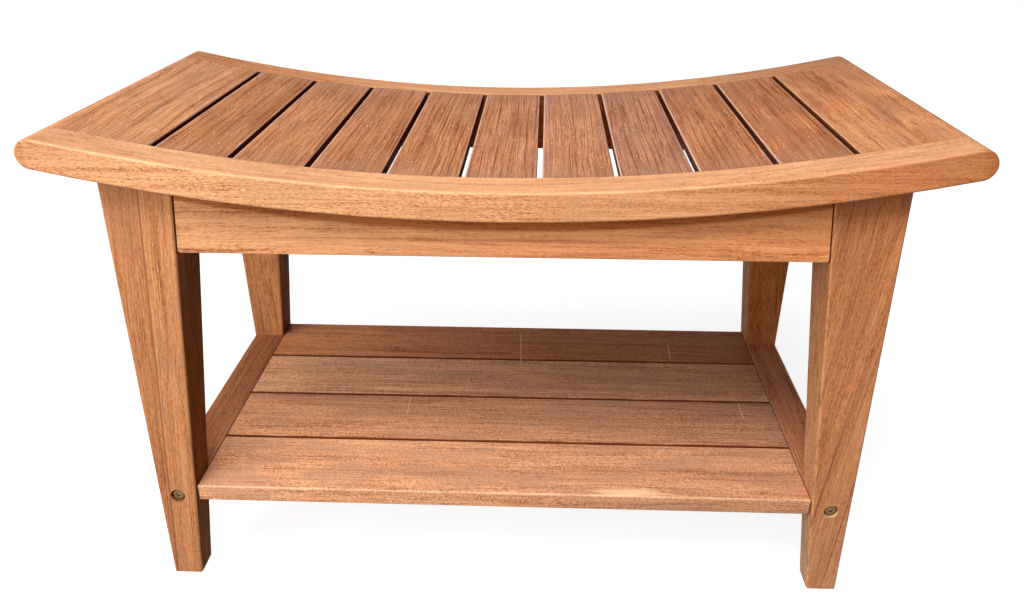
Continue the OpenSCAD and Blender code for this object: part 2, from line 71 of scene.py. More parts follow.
class Tree:
    """Short ways to add nodes to a material or world.

    A value given to a socket may be a number, a tuple or another node's output.
    """

    def __init__(self, owner):
        owner.use_nodes = True
        self.owner = owner
        self.nodes = owner.node_tree.nodes
        self.links = owner.node_tree.links

    def put(self, socket, value):
        if isinstance(value, bpy.types.NodeSocket):
            self.links.new(value, socket)
        else:
            socket.default_value = value

    def node(self, kind, inputs, output=0, **settings):
        """Adds a node with these inputs and settings, and gives one of its outputs."""
        n = self.nodes.new("ShaderNode" + kind)
        for key, value in settings.items():
            setattr(n, key, value)
        for key, value in inputs.items():
            self.put(n.inputs[key], value)
        return n.outputs[output]

    def math(self, operation, a, b=0.0):
        return self.node("Math", {0: a, 1: b}, operation=operation)

    def add(self, a, b):
        return self.math("ADD", a, b)

    def sub(self, a, b):
        return self.math("SUBTRACT", a, b)

    def mul(self, a, b):
        return self.math("MULTIPLY", a, b)

    def low(self, a, b):
        return self.math("MINIMUM", a, b)

    def high(self, a, b):
        return self.math("MAXIMUM", a, b)

    def size_of(self, a):
        return self.math("ABSOLUTE", a)

    def step(self, x, start, stop):
        """0 below start, 1 above stop, and a smooth rise between. It falls instead if start is above stop."""
        inputs = {"Value": x, "From Min": start, "From Max": stop}
        return self.node("MapRange", inputs, interpolation_type="SMOOTHSTEP")

    def vector(self, x, y, z):
        return self.node("CombineXYZ", {"X": x, "Y": y, "Z": z})

    def vmath(self, operation, a, b):
        return self.node("VectorMath", {0: a, 1: b}, operation=operation)

    def length(self, vector):
        return self.node("VectorMath", {0: vector}, "Value", operation="LENGTH")

    def parts(self, vector):
        n = self.node("SeparateXYZ", {0: vector}).node
        return n.outputs[0], n.outputs[1], n.outputs[2]

    def noise(self, vector, grain, detail=1.0, rough=0.5, output="Fac"):
        """Noise whose grains are grain[0] long along the board and grain[1] wide across it."""
        length, width = grain
        stretched = self.vmath("MULTIPLY", vector, (1.0 / length, 1.0 / width, 1.0 / width))
        inputs = {"Vector": stretched, "Scale": 1.0, "Detail": detail, "Roughness": rough}
        return self.node("TexNoise", inputs, output)

    def wave(self, vector, grain, detail=1.0, rough=0.5):
        """The same noise, as a value that swings about as far as 1 either side of 0."""
        return self.mul(self.sub(self.noise(vector, grain, detail, rough), 0.5), 3.5)

    def warped(self, vector, base, grain, amount):
        """The vector, moved across the board by noise at base."""
        noise = self.vmath("SUBTRACT", self.noise(base, grain, output="Color"), (0.5, 0.5, 0.5))
        return self.vmath("ADD", vector, self.vmath("MULTIPLY", noise, (0.0, amount * 3, amount * 3)))

    def ramp(self, x, *stops):
        """A colour from stops, which are (place, colour) with the places from 0 to 1."""
        n = self.node("ValToRGB", {0: x}).node
        elements = n.color_ramp.elements
        while len(elements) < len(stops):
            elements.new(1.0)
        for element, (position, shade) in zip(elements, stops):
            element.position = position
            element.color = shade
        return n.outputs[0]

    def mix(self, share, a, b, blend="MIX"):
        inputs = {"Factor": share, 6: a, 7: b}
        return self.node("Mix", inputs, 2, data_type="RGBA", blend_type=blend)

    def tint(self, share, shade, tint):
        """The shade, multiplied by the tint where share is 1."""
        return self.mix(share, shade, self.mix(1.0, shade, tint, "MULTIPLY"))


def colour(r, g, b):
    return (r, g, b, 1.0)


def finish(t, nodes, shade, rough, **inputs):
    """Puts the looks on the material's shader, and the material on the CAD nodes."""
    shader = t.nodes["Principled BSDF"]
    for name, value in {"Base Color": shade, "Roughness": rough, **inputs}.items():
        t.put(shader.inputs[name], value)
    for node in nodes:
        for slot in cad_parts[node].material_slots:
            slot.material = t.owner


# ---- Where a point is on its board ----
# A board's own coordinates are (along the grain, across, through).

def place(t):
    """The point in the bench's own frame."""
    return t.parts(in_mm(t))


def in_mm(t):
    return t.vmath("MULTIPLY", t.node("TexCoord", {}, "Object"), (1000.0, 1000.0, 1000.0))


def polar(t, x, z):
    """Distance along the seat's curve from the middle, and depth below the seat's top."""
    drop = t.sub(ARC_Z, z)
    angle = t.math("ARCTAN2", x, drop)
    radius = t.math("SQRT", t.add(t.mul(x, x), t.mul(drop, drop)))
    return t.mul(angle, SEAT_R), t.sub(radius, SEAT_R)


def between(t, value, low, high):
    """Distance to the nearer of two parallel faces."""
    return t.low(t.sub(value, low), t.sub(high, value))


def on_seat_board(t, middle):
    """The point on a slat or end board, whose middle is this far along the seat's curve."""
    x, y, z = place(t)
    along, depth = polar(t, x, z)
    return y, t.sub(along, middle), depth


def on_box(t, low, high, grain):
    """The point on a straight board, and its distances to the three pairs of faces.

    grain is 0 for a board along X and 1 for one along Y.
    """
    p = place(t)
    faces = tuple(between(t, p[i], low[i], high[i]) for i in range(3))
    order = ((0, 1, 2), (1, 0, 2))[grain]
    return tuple(p[i] for i in order), tuple(faces[i] for i in order)


def on_leg(t, x_side, y_side):
    """The point on a leg, and its distances to the foot's end and the two pairs of sides.

    The foot's end counts as 10 mm lower than it is, which keeps it clear of near_edge.
    """
    x, y, z = place(t)
    side = t.add(LEG_FOOT, t.mul(z, LEG_SLOPE))
    out_x, out_y = t.mul(x, x_side), t.mul(y, y_side)
    faces = (t.add(z, 10.0),
             t.low(t.sub(LEG_X, out_x), t.sub(out_x, t.sub(LEG_X, side))),
             t.low(t.sub(LEG_Y, out_y), t.sub(out_y, t.sub(LEG_Y, side))))
    return (z, x, y), faces


def near_edge(t, faces, width):
    """1 on a board's arrises, where two of its faces meet, and 0 from width away."""
    a, b, c = faces
    second = t.high(t.low(a, b), t.low(t.high(a, b), c))
    return t.step(second, width, width * 0.35)


# ---- Teak ----

def tones(pale, mid, dark, grey):
    """A board's pale, middle and dark grain, and its greyer patches."""
    return {"pale": colour(*pale), "mid": colour(*mid), "dark": colour(*dark), "grey": colour(*grey)}


RAIL = tones((0.84, 0.44, 0.22), (0.66, 0.30, 0.13), (0.34, 0.12, 0.04), (0.58, 0.28, 0.14))
END_BOARD = tones((0.74, 0.38, 0.19), (0.56, 0.25, 0.11), (0.28, 0.10, 0.042), (0.46, 0.23, 0.13))
SLAT = tones((0.66, 0.34, 0.19), (0.47, 0.20, 0.095), (0.20, 0.065, 0.030), (0.38, 0.19, 0.12))
LEG = tones((0.68, 0.33, 0.15), (0.50, 0.21, 0.085), (0.24, 0.08, 0.032), (0.40, 0.19, 0.11))
APRON = tones((0.97, 0.53, 0.255), (0.84, 0.37, 0.152), (0.34, 0.12, 0.042), (0.60, 0.28, 0.15))
SHELF = tones((0.74, 0.37, 0.20), (0.55, 0.24, 0.12), (0.26, 0.088, 0.042), (0.38, 0.20, 0.13))

# Pale worn wood, which is also the painted highlight on the front plank's lip, and the dark of a joint, which
# is also the painted shade in the gaps between boards.
PALE_WEAR_AND_HIGHLIGHT = colour(0.86, 0.60, 0.40)
JOINT_DARK_AND_GAP_SHADE = colour(0.15, 0.024, 0.004)
# The tint of the painted shade on the rails' and the rear apron's sides toward the bench's middle, which are
# dark.
PAINTED_INNER_SHADE = colour(0.30, 0.18, 0.10)

# How far a board's seed moves it through the noise: along, across and through.
SEED_SHIFT = (311.0, 71.0, 53.0)

# Sizes that all boards share, as (length along the grain, width): the slow wander of the wood's lines,
# their short ripple, the greyer patches, the places where growth lines are strong, and the cells that may
# hold a pale fleck.
WANDER = (170.0, 40.0)
RIPPLE = (14.0, 7.0)
GREY_PATCH = (80.0, 26.0)
STRONG_PLACE = (240.0, 13.0)
FLECK_CELL = (6.0, 4.0)
# The length of a band of paler or darker wood, and the width of a growth line's breaks.
BAND_LENGTH = 300.0
BREAK_WIDTH = 4.0

# The specular level of oiled teak, and its bump.
GLOSS = 0.10
BUMP_STRENGTH = 0.25
BUMP_M = 0.0004


def tinted(board_tones, tint):
    factors = (*tint, 1.0)
    return {name: tuple(v * k for v, k in zip(shade, factors)) for name, shade in board_tones.items()}


def teak(t, p, seed, board_tones, *, tilt=0.0, drift=3.0, curl=0.12,
         bands=0.22, band_width=9.0, lines=0.6, spacing=7.0, line_length=70.0, pith=(250.0, 240.0),
         fibres=0.30, fibre_size=(70.0, 1.2), dashes=0.15, dash_size=(8.0, 1.4),
         pores=0.25, pore_size=(6.0, 1.2), grit=0.25, grit_size=(3.5, 0.9),
         blotches=0.0, blotch_size=(55.0, 20.0), streaks=0.0, streak_size=(45.0, 1.0),
         greying=0.3, flecks=0.3, lightness=0.0, fade=()):
    """Colour, height and roughness of oiled teak at p, in the board's own coordinates.

    tilt turns the grain, drift moves it slowly sideways and curl ripples it.
    bands, lines, fibres, dashes, pores, grit, blotches, streaks, greying and flecks say how strongly each
    shows. A size is (length along the grain, width). spacing is the growth lines' distance, line_length the
    length of their unbroken parts, and pith the middle of their rings. lightness makes the whole board paler.
    The last argument lists (place along the board, tint) where the board's colour changes from end to end; on
    the rear rail and the shelf's planks this is painted shade.
    """
    along, across, through = p
    shift = tuple(seed * s for s in SEED_SHIFT)
    base = t.vector(t.add(along, shift[0]), t.add(t.add(across, t.mul(along, tilt)), shift[1]),
                    t.add(through, shift[2]))
    q = t.warped(base, base, WANDER, drift)
    if curl:
        q = t.warped(q, base, RIPPLE, curl)
    band = t.wave(q, (BAND_LENGTH, band_width), detail=2.0)
    fibre = t.wave(q, fibre_size, detail=2.0, rough=0.7)
    dash = t.wave(q, dash_size, detail=1.5, rough=0.6)
    patch = t.step(t.noise(base, GREY_PATCH), 0.42, 0.64)
    pore = t.step(t.noise(q, pore_size), 0.54, 0.68)

    # growth lines: rings round the pith, which are broken here and there and stronger in places
    _, w, d = t.parts(q)
    from_pith_w = t.sub(w, shift[1] + pith[0])
    from_pith_d = t.sub(d, shift[2] + pith[1])
    squares = t.add(t.mul(from_pith_w, from_pith_w), t.mul(from_pith_d, from_pith_d))
    rings = t.math("DIVIDE", t.math("SQRT", squares), spacing)
    ring = t.math("FRACT", t.add(rings, t.mul(band, 0.15)))
    line = t.mul(t.step(ring, 0.74, 0.93), t.step(ring, 1.0, 0.95))
    whole = t.step(t.noise(base, (line_length, BREAK_WIDTH)), 0.38, 0.56)
    strong = t.step(t.noise(base, STRONG_PLACE, detail=0.0), 0.36, 0.60)
    line = t.mul(line, t.mul(t.add(0.25, t.mul(whole, 0.75)), t.add(0.35, t.mul(strong, 0.65))))

    # tone is 0 for dark grain and 1 for pale
    tone = t.add(0.5 + lightness, t.mul(band, bands))
    tone = t.add(tone, t.mul(fibre, fibres))
    tone = t.add(tone, t.mul(dash, dashes))
    tone = t.add(tone, t.mul(t.wave(q, grit_size), grit))
    if blotches:
        tone = t.add(tone, t.mul(t.wave(base, blotch_size, detail=1.5), blotches))
    if streaks:
        streak = t.step(t.noise(q, streak_size, detail=0.5), 0.58, 0.70)
        tone = t.sub(tone, t.mul(streak, streaks))
    tone = t.sub(tone, t.mul(line, lines))
    tone = t.sub(tone, t.mul(pore, pores))

    shade = t.ramp(tone, (0.0, board_tones["dark"]), (0.5, board_tones["mid"]), (1.0, board_tones["pale"]))
    shade = t.mix(t.mul(patch, greying), shade, t.mix(0.6, shade, board_tones["grey"]))
    if flecks:
        cells = t.vmath("MULTIPLY", q, (1 / FLECK_CELL[0], 1 / FLECK_CELL[1], 1 / FLECK_CELL[1]))
        cell = t.node("TexVoronoi", {"Vector": cells, "Scale": 1.0}).node
        chosen = t.step(t.parts(cell.outputs["Color"])[0], 0.84, 0.86)
        spot = t.mul(t.step(cell.outputs["Distance"], 0.20, 0.10), chosen)
        shade = t.mix(t.mul(spot, flecks), shade, PALE_WEAR_AND_HIGHLIGHT)
    if fade:
        first, last = fade[0][0], fade[-1][0]
        share = t.node("MapRange", {"Value": along, "From Min": first, "From Max": last})
        drifted = t.ramp(share, *(((at - first) / (last - first), colour(*tint)) for at, tint in fade))
        shade = t.mix(1.0, shade, drifted, "MULTIPLY")
    height = t.sub(t.sub(t.mul(fibre, 0.25), t.mul(pore, 0.5)), t.mul(line, 0.3))
    rough = t.add(0.60, t.mul(t.sub(0.5, tone), 0.2))
    return shade, height, rough


def patched(t, shade, p, patches):
    """Ragged oval patches on a board: each is (place along, place across, length, width, tint)."""
    ragged = t.mul(t.wave(t.vector(*p), (22.0, 4.0), detail=2.5, rough=0.65), 0.30)
    for along, across, length, width, tint in patches:
        away_along = t.mul(t.sub(p[0], along), 2.0 / length)
        away_across = t.mul(t.sub(p[1], across), 2.0 / width)
        reach = t.add(t.length(t.vector(away_along, away_across, 0.0)), ragged)
        shade = t.tint(t.step(reach, 1.25, 0.35), shade, colour(*tint))
    return shade


def hairlines(t, shade, p, amount):
    """Short pale scratches along the grain."""
    hair = t.step(t.noise(t.vector(*p), (26.0, 0.7), detail=0.0), 0.68, 0.76)
    somewhere = t.step(t.noise(t.vector(*p), (60.0, 22.0), detail=0.0), 0.46, 0.62)
    return t.mix(t.mul(t.mul(hair, somewhere), amount), shade, PALE_WEAR_AND_HIGHLIGHT)


def finish_wood(t, node, shade, height, rough, dull=None):
    """dull is 1 where the surface is dark and has no gloss at all."""
    bump = t.node("Bump", {"Height": height, "Strength": BUMP_STRENGTH, "Distance": BUMP_M})
    gloss = GLOSS if dull is None else t.sub(GLOSS, t.mul(dull, GLOSS))
    finish(t, (node,), shade, rough, **{"Specular IOR Level": gloss, "Normal": bump})


def wood_tree(node):
    return Tree(bpy.data.materials.new("teak_" + node))


def corners(node):
    """The lowest and highest corners of a CAD node's box, in mm."""
    low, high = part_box(node)
    return tuple(v / MM for v in low), tuple(v / MM for v in high)


# ---- The seat ----

# The pale knot on the front rail's face.
KNOT_X = -201.3
KNOT_Z = 408.9


def paint_rail(node, side, seed, fade):
    """side is -1 for the front rail and 1 for the rear one."""
    t = wood_tree(node)
    x, y, z = p = place(t)
    _, depth = polar(t, x, z)
    from_face = t.sub(DEPTH_HALF, t.mul(y, side))
    on_face = t.step(from_face, 1.6, 0.6)
    # the face's left half has a curly grain
    curly = t.mul(on_face, t.step(x, 120.0, -20.0))
    shade, height, rough = teak(
        t, p, seed, RAIL, drift=2.0, curl=0.5, bands=0.32, band_width=7.0, lines=0.22, fibres=0.44,
        dashes=t.add(0.16, t.mul(curly, 0.32)), dash_size=(3.4, 0.9),
        pores=t.add(0.12, t.mul(curly, 0.14)), pore_size=(4.0, 0.9),
        grit=0.34, grit_size=(2.2, 0.8), greying=0.6, lightness=0.15, fade=fade)
    # browner round ends, a thin pale outer arris that is partly wear and partly a painted highlight, and
    # painted shade on the inner side
    shade = t.tint(t.step(t.size_of(x), SEAT_HALF - 14.0, SEAT_HALF - 4.0), shade, colour(0.88, 0.80, 0.72))
    arris = t.step(t.add(from_face, depth), 1.9, 1.1)
    shade = t.mix(t.mul(arris, 0.30), shade, colour(0.90, 0.60, 0.36))
    inner = t.mul(t.step(t.sub(t.mul(y, side), SLAT_END), 0.6, 0.2), t.step(depth, 0.6, 1.2))
    shade = t.tint(inner, shade, PAINTED_INNER_SHADE)
    if side < 0:
        # the front face is browner toward the right, and has one small pale knot
        shade = t.tint(t.sub(1.0, on_face), shade, colour(1.04, 1.05, 1.08))
        to_right = t.mul(on_face, t.step(x, 40.0, 340.0))
        shade = t.tint(to_right, shade, colour(0.86, 0.66, 0.54))
        knot = t.length(t.vector(t.sub(x, KNOT_X), 0.0, t.mul(t.sub(z, KNOT_Z), 1.4)))
        shade = t.mix(t.mul(t.step(knot, 5.5, 3.0), 0.45), shade, colour(0.50, 0.20, 0.07))
        shade = t.mix(t.mul(t.step(knot, 2.8, 1.0), 0.55), shade, colour(0.88, 0.60, 0.34))
    finish_wood(t, node, shade, height, rough)


def gap_wall(t, from_side, depth, start):
    """Where a seat board's side in a gap takes painted shade: 1 from start below its top, and 0 elsewhere."""
    return t.mul(t.step(from_side, 0.45, 0.20), t.step(t.sub(depth, start), 0.0, 0.25))


def paint_slat(node, seed, tint, patches=()):
    low, high = corners(node)
    angle = math.atan2((low[0] + high[0]) / 2, ARC_Z - (low[2] + high[2]) / 2)
    t = wood_tree(node)
    p = y, across, depth = on_seat_board(t, angle * SEAT_R)
    shade, height, rough = teak(
        t, p, seed, tinted(SLAT, tint), drift=2.5, curl=0.06, bands=0.30, band_width=7.0,
        lines=1.0, spacing=5.4, line_length=160.0, pith=(250.0, 100.0 + 20.0 * (seed % 4)),
        fibres=0.64, fibre_size=(120.0, 0.85), dashes=0.14, dash_size=(9.0, 1.0),
        pores=0.14, pore_size=(10.0, 0.9), streaks=0.50, streak_size=(170.0, 0.8),
        grit=0.46, grit_size=(2.6, 0.8), blotches=0.18, greying=0.8, flecks=0.95, lightness=0.20)
    shade = hairlines(t, patched(t, shade, p, patches), p, 0.55)
    # darker toward both ends
    toward_ends = t.step(t.size_of(y), SLAT_END - 45.0, SLAT_END - 3.0)
    shade = t.mix(t.mul(toward_ends, 0.35), shade, colour(0.36, 0.18, 0.11))
    # pale arrises, partly wear and partly a painted highlight that is stronger on the left one, toward the
    # lamps
    from_side = between(t, across, -SLAT_HALF, SLAT_HALF)
    arris = t.mul(t.step(from_side, 2.0, 0.9), t.step(depth, 1.6, 0.9))
    pale = t.mul(arris, t.add(0.20, t.mul(t.step(across, 5.0, -5.0), 0.30)))
    shade = t.mix(pale, shade, colour(0.80, 0.60, 0.46))
    # painted shade on the sides in the gaps: the right one, which faces away from the lamps, starts higher
    # and is darker
    on_right = t.step(across, -5.0, 5.0)
    walls = gap_wall(t, from_side, depth, t.add(0.65, t.mul(on_right, -0.40)))
    walls = t.mul(walls, t.add(0.82, t.mul(on_right, 0.16)))
    shade = t.mix(walls, shade, JOINT_DARK_AND_GAP_SHADE)
    finish_wood(t, node, shade, height, rough, dull=walls)


def paint_end_board(node, side, seed, tint, patches=(), **changes):
    """side is -1 for the left board and 1 for the right one."""
    inner = math.asin((SEAT_HALF - END_BOARD_REACH) / SEAT_R) * SEAT_R
    outer = inner + END_BOARD_WIDTH
    t = wood_tree(node)
    p = _, across, depth = on_seat_board(t, side * (inner + outer) / 2)
    settings = dict(
        drift=4.0, bands=0.36, band_width=8.0, lines=0.45, spacing=8.0, line_length=110.0,
        fibres=0.52, fibre_size=(70.0, 0.9), dashes=0.18, dash_size=(8.0, 1.1),
        pores=0.18, pore_size=(8.0, 1.0), grit=0.38, grit_size=(2.6, 0.9),
        streaks=0.30, streak_size=(70.0, 1.0), blotches=0.14, greying=0.8, flecks=0.4, lightness=0.14)
    shade, height, rough = teak(t, p, seed, tinted(END_BOARD, tint), **{**settings, **changes})
    shade = hairlines(t, patched(t, shade, p, patches), p, 0.5)
    # a pale arris, partly wear and partly a painted highlight, and painted shade on the side at the gap
    from_inner = t.sub(t.mul(across, side), -(outer - inner) / 2)
    arris = t.mul(t.step(from_inner, 2.2, 1.0), t.step(depth, 1.6, 0.9))
    shade = t.mix(t.mul(arris, 0.25), shade, colour(0.70, 0.50, 0.35))
    wall = gap_wall(t, from_inner, depth, 0.25 if side < 0 else 0.65)
    wall = t.mul(wall, 0.98 if side < 0 else 0.82)
    shade = t.mix(wall, shade, JOINT_DARK_AND_GAP_SHADE)
    finish_wood(t, node, shade, height, rough, dull=wall)


paint_rail("seat_rail_front", -1, 1,
           fade=((-380, (0.80, 0.75, 0.76)), (-345, (0.84, 0.79, 0.79)), (-300, (0.94, 0.93, 0.92)),
                 (-200, (0.98, 0.99, 0.97)), (0, (1.05, 1.00, 0.95)), (310, (1.0, 0.97, 0.98)),
                 (380, (0.88, 0.84, 0.76))))
# The rear rail is darker toward both ends, which is painted shade.
paint_rail("seat_rail_rear", 1, 2,
           fade=((-380, (0.62, 0.43, 0.21)), (-250, (0.81, 0.64, 0.46)), (-120, (1.01, 0.92, 0.88)),
                 (120, (1.02, 0.95, 0.93)), (380, (0.60, 0.52, 0.45))))
paint_end_board("seat_end_board_left", -1, 3, (0.98, 0.87, 0.75))
paint_end_board("seat_end_board_right", 1, 4, (1.03, 0.87, 0.74),
                patches=((-72.0, 1.0, 78.0, 15.0, (0.70, 0.66, 0.66)),
                         (-40.0, 9.0, 50.0, 9.0, (0.82, 0.80, 0.78)),
                         (-20.0, -24.0, 90.0, 34.0, (1.13, 1.08, 1.0)),
                         (78.0, -16.0, 90.0, 26.0, (0.84, 0.82, 0.76)),
                         (14.0, 22.0, 70.0, 26.0, (1.10, 1.10, 1.04))),
                blotches=0.26, bands=0.28, curl=0.35,
                fade=((-155, (1.0, 1.0, 0.98)), (155, (0.80, 0.73, 0.67))))

# The slats' tints from left to right, and the patches on two of them.
SLAT_TINTS = ((0.87, 0.65, 0.35), (0.91, 0.70, 0.43), (0.85, 0.63, 0.38),
              (0.90, 0.70, 0.45), (0.92, 0.74, 0.57), (0.97, 0.82, 0.72),
              (0.83, 0.71, 0.67), (0.88, 0.66, 0.46), (0.89, 0.64, 0.42))
SLAT_PATCHES = {
    7: ((-70.0, -6.0, 90.0, 16.0, (1.20, 1.27, 1.32)), (-85.0, 12.0, 60.0, 9.0, (1.12, 1.16, 1.2))),
    9: ((-42.0, 17.0, 95.0, 24.0, (1.15, 1.15, 1.10)), (70.0, 0.0, 110.0, 42.0, (0.88, 0.84, 0.80))),
}
for number, tint in enumerate(SLAT_TINTS, 1):
    paint_slat(f"seat_slat_{number}", 10 + number, tint, SLAT_PATCHES.get(number, ()))


# ---- The legs ----

def paint_leg(node, x_side, y_side, seed, tint, tilt=0.0, middle_line=False, low_lines=False, **changes):
    """x_side is -1 on the left and y_side is -1 at the front."""
    t = wood_tree(node)
    p, faces = on_leg(t, x_side, y_side)
    z, x, y = p
    settings = dict(bands=0.28, lines=0.5, spacing=9.0, line_length=120.0, fibres=0.42, dashes=0.16,
                    pores=0.2, pore_size=(8.0, 1.2), greying=0.5, flecks=0.3, lightness=0.08)
    if low_lines:
        # growth lines that show on the lower half only
        settings["lines"] = t.add(0.12, t.mul(t.step(z, 300.0, 180.0), 0.36))
    shade, height, rough = teak(t, p, seed, tinted(LEG, tint), tilt=tilt, **{**settings, **changes})
    if middle_line:
        # one dark growth line up the front, with darker wood on its left
        from_line = t.sub(t.add(x, 325.0), t.mul(z, 0.074))
        shade = t.tint(t.mul(t.step(from_line, 3.0, -1.0), 0.5), shade, colour(0.74, 0.70, 0.68))
        shade = t.mix(t.mul(t.step(t.size_of(from_line), 1.3, 0.5), 0.75), shade, LEG["dark"])
    # the side toward the bench's middle: painted shade darkens it on the left legs, where the lamps from the
    # left don't reach, and it is paler low down on the right ones
    inner = t.step(t.sub(t.mul(x, x_side), t.sub(LEG_X - LEG_FOOT, t.mul(z, LEG_SLOPE))), 0.6, 0.2)
    if x_side < 0:
        inner_tint = colour(0.48, 0.42, 0.28)
    else:
        inner_tint = t.mix(t.step(z, 330.0, 110.0), colour(0.67, 0.73, 0.67), colour(0.94, 1.20, 1.42))
    shade = t.tint(inner, shade, inner_tint)
    shade = t.mix(t.mul(near_edge(t, faces, 2.4), 0.12), shade, colour(0.72, 0.42, 0.22))
    dull = t.mul(inner, 0.9 if x_side < 0 else 0.3)
    if y_side < 0:
        # the joint line beside the front apron
        behind = t.sub(LEG_Y, t.mul(y, y_side))
        beside = t.mul(t.step(behind, 0.3, 0.9), t.step(behind, APRON_BACK + 1.0, APRON_BACK - 1.0))
        joint = t.mul(t.mul(inner, t.step(z, APRON_BOTTOM - 1.5, APRON_BOTTOM + 0.5)), beside)
        shade = t.mix(t.mul(joint, 0.95), shade, JOINT_DARK_AND_GAP_SHADE)
        dull = t.high(dull, joint)
    # the bored seat round the bolt's head: painted shade on the left legs, and a painted highlight where its
    # wall catches the light on the right ones
    off_axis = t.length(t.vector(t.sub(x, x_side * BOLT_X), 0.0, t.sub(z, BOLT_Z)))
    bored = t.mul(t.step(off_axis, BORE_R + 0.35, BORE_R + 0.05), t.step(t.mul(y, y_side), 60.0, 80.0))
    bore = colour(0.10, 0.035, 0.014) if x_side < 0 else colour(0.70, 0.46, 0.29)
    shade = t.mix(t.mul(bored, 0.7), shade, bore)
    finish_wood(t, node, shade, height, rough, dull=dull)


paint_leg("leg_front_left", -1, -1, 31, (0.98, 0.92, 0.86), tilt=-0.078, middle_line=True,
          lines=0.3, spacing=6.0, fibre_size=(70.0, 1.0))
paint_leg("leg_front_right", 1, -1, 32, (1.16, 1.04, 0.98), tilt=-0.11, low_lines=True, spacing=8.0,
          pith=(-300.0, -450.0), fibre_size=(70.0, 0.9), dashes=0.10, greying=0.3,
          fade=((0, (1.0, 1.14, 1.32)), (110, (0.98, 0.99, 1.0)), (240, (1.04, 1.06, 1.07)),
                (414, (0.87, 0.79, 0.73))))
paint_leg("leg_rear_left", -1, 1, 33, (1.05, 1.0, 0.9))
# the rear right leg's tint is partly painted shade, darker and warmer as in the seat's shadow
paint_leg("leg_rear_right", 1, 1, 34, (0.92, 0.70, 0.45))


# ---- The straight boards ----

def paint_box(node, grain, seed, board_tones, gap_sides=(), end_joint=0.0, marks=(), details=None,
              **settings):
    """grain is 0 for a board along X and 1 for one along Y.

    gap_sides names the long sides, -1 and 1, that face a gap and take painted shade. end_joint is how far the
    dark of a joint reaches onto a plank's ends. marks are pale scratches across a plank, each from (x0, y0)
    to (x1, y1). details is a function that paints more on a board with those corners, and gives the new
    shade, and where it is dull or None.
    """
    low, high = corners(node)
    t = wood_tree(node)
    p, faces = on_box(t, low, high, grain)
    shade, height, rough = teak(t, p, seed, board_tones, **settings)
    shade = t.mix(t.mul(near_edge(t, faces, 2.0), 0.2), shade, colour(0.80, 0.52, 0.32))
    dark_places = []
    # painted shade on the long sides that face a gap, and the dark of a joint at a plank's ends
    for side in gap_sides:
        inward = t.sub(p[1], low[1]) if side < 0 else t.sub(high[1], p[1])
        ragged = t.add(inward, t.mul(t.wave(t.vector(*p), (25.0, 9.0), detail=2.0), 0.5))
        dark_places.append(t.mul(t.step(ragged, 1.2, 0.6), 0.95))
    if end_joint:
        from_end = t.sub(PLANK_HALF, t.size_of(p[0]))
        dark_places.append(t.mul(t.step(from_end, end_joint + 0.4, end_joint - 0.2), 0.85))
    dull = None
    for dark in dark_places:
        shade = t.mix(dark, shade, JOINT_DARK_AND_GAP_SHADE)
        dull = dark if dull is None else t.high(dull, dark)
    for x0, y0, x1, y1 in marks:
        slope = (x1 - x0) / (y1 - y0)
        line_x = t.add(x0 - slope * y0, t.mul(p[1], slope))
        beside = t.step(t.size_of(t.sub(p[0], line_x)), 1.1, 0.4)
        within = t.step(between(t, p[1], min(y0, y1), max(y0, y1)), 0.0, 6.0)
        shade = t.mix(t.mul(t.mul(beside, within), 0.45), shade, PALE_WEAR_AND_HIGHLIGHT)
    if details:
        shade, more_dull = details(t, shade, p, low, high)
        dull = dull if more_dull is None else more_dull
    finish_wood(t, node, shade, height, rough, dull=dull)


# The painted shadow of the front rail on the front apron: its depth at the ends, how much deeper it is in the
# middle, and half its length.
STRIP_DEPTH = 9.0
STRIP_BULGE = 5.0
STRIP_HALF = 330.0

# The pale worn patch at the front of the front plank's top: its middle and half its length and width.
WORN_X, WORN_Y = 122.0, -168.0
WORN_LENGTH, WORN_WIDTH = 42.0, 8.5


def front_apron_details(t, shade, p, low, high):
    """Painted shadow where the curved rail shades it, and painted shade along its lower edge."""
    x, y, z = p
    _, under = polar(t, x, z)
    bulge = t.sub(1.0, t.math("POWER", t.mul(x, 1 / STRIP_HALF), 2.0))
    past_strip = t.sub(under, t.add(RAIL_THICK + STRIP_DEPTH, t.mul(bulge, STRIP_BULGE)))
    shade = t.tint(t.step(past_strip, 2.5, -1.5), shade, colour(0.53, 0.38, 0.26))
    # a dark growth line along its middle, and painted shade along its lower edge
    shade = patched(t, shade, (x, z, y), ((0.0, 361.5, 330.0, 3.6, (0.76, 0.70, 0.66)),
                                          (70.0, 344.0, 560.0, 15.0, (0.78, 0.76, 0.79))))
    return shade, None


def rear_apron_details(t, shade, p, low, high):
    """Painted shade on its side toward the bench's middle, which is also dull."""
    inner = t.step(t.sub(p[1], low[1]), 0.8, 0.3)
    return t.tint(inner, shade, PAINTED_INNER_SHADE), inner


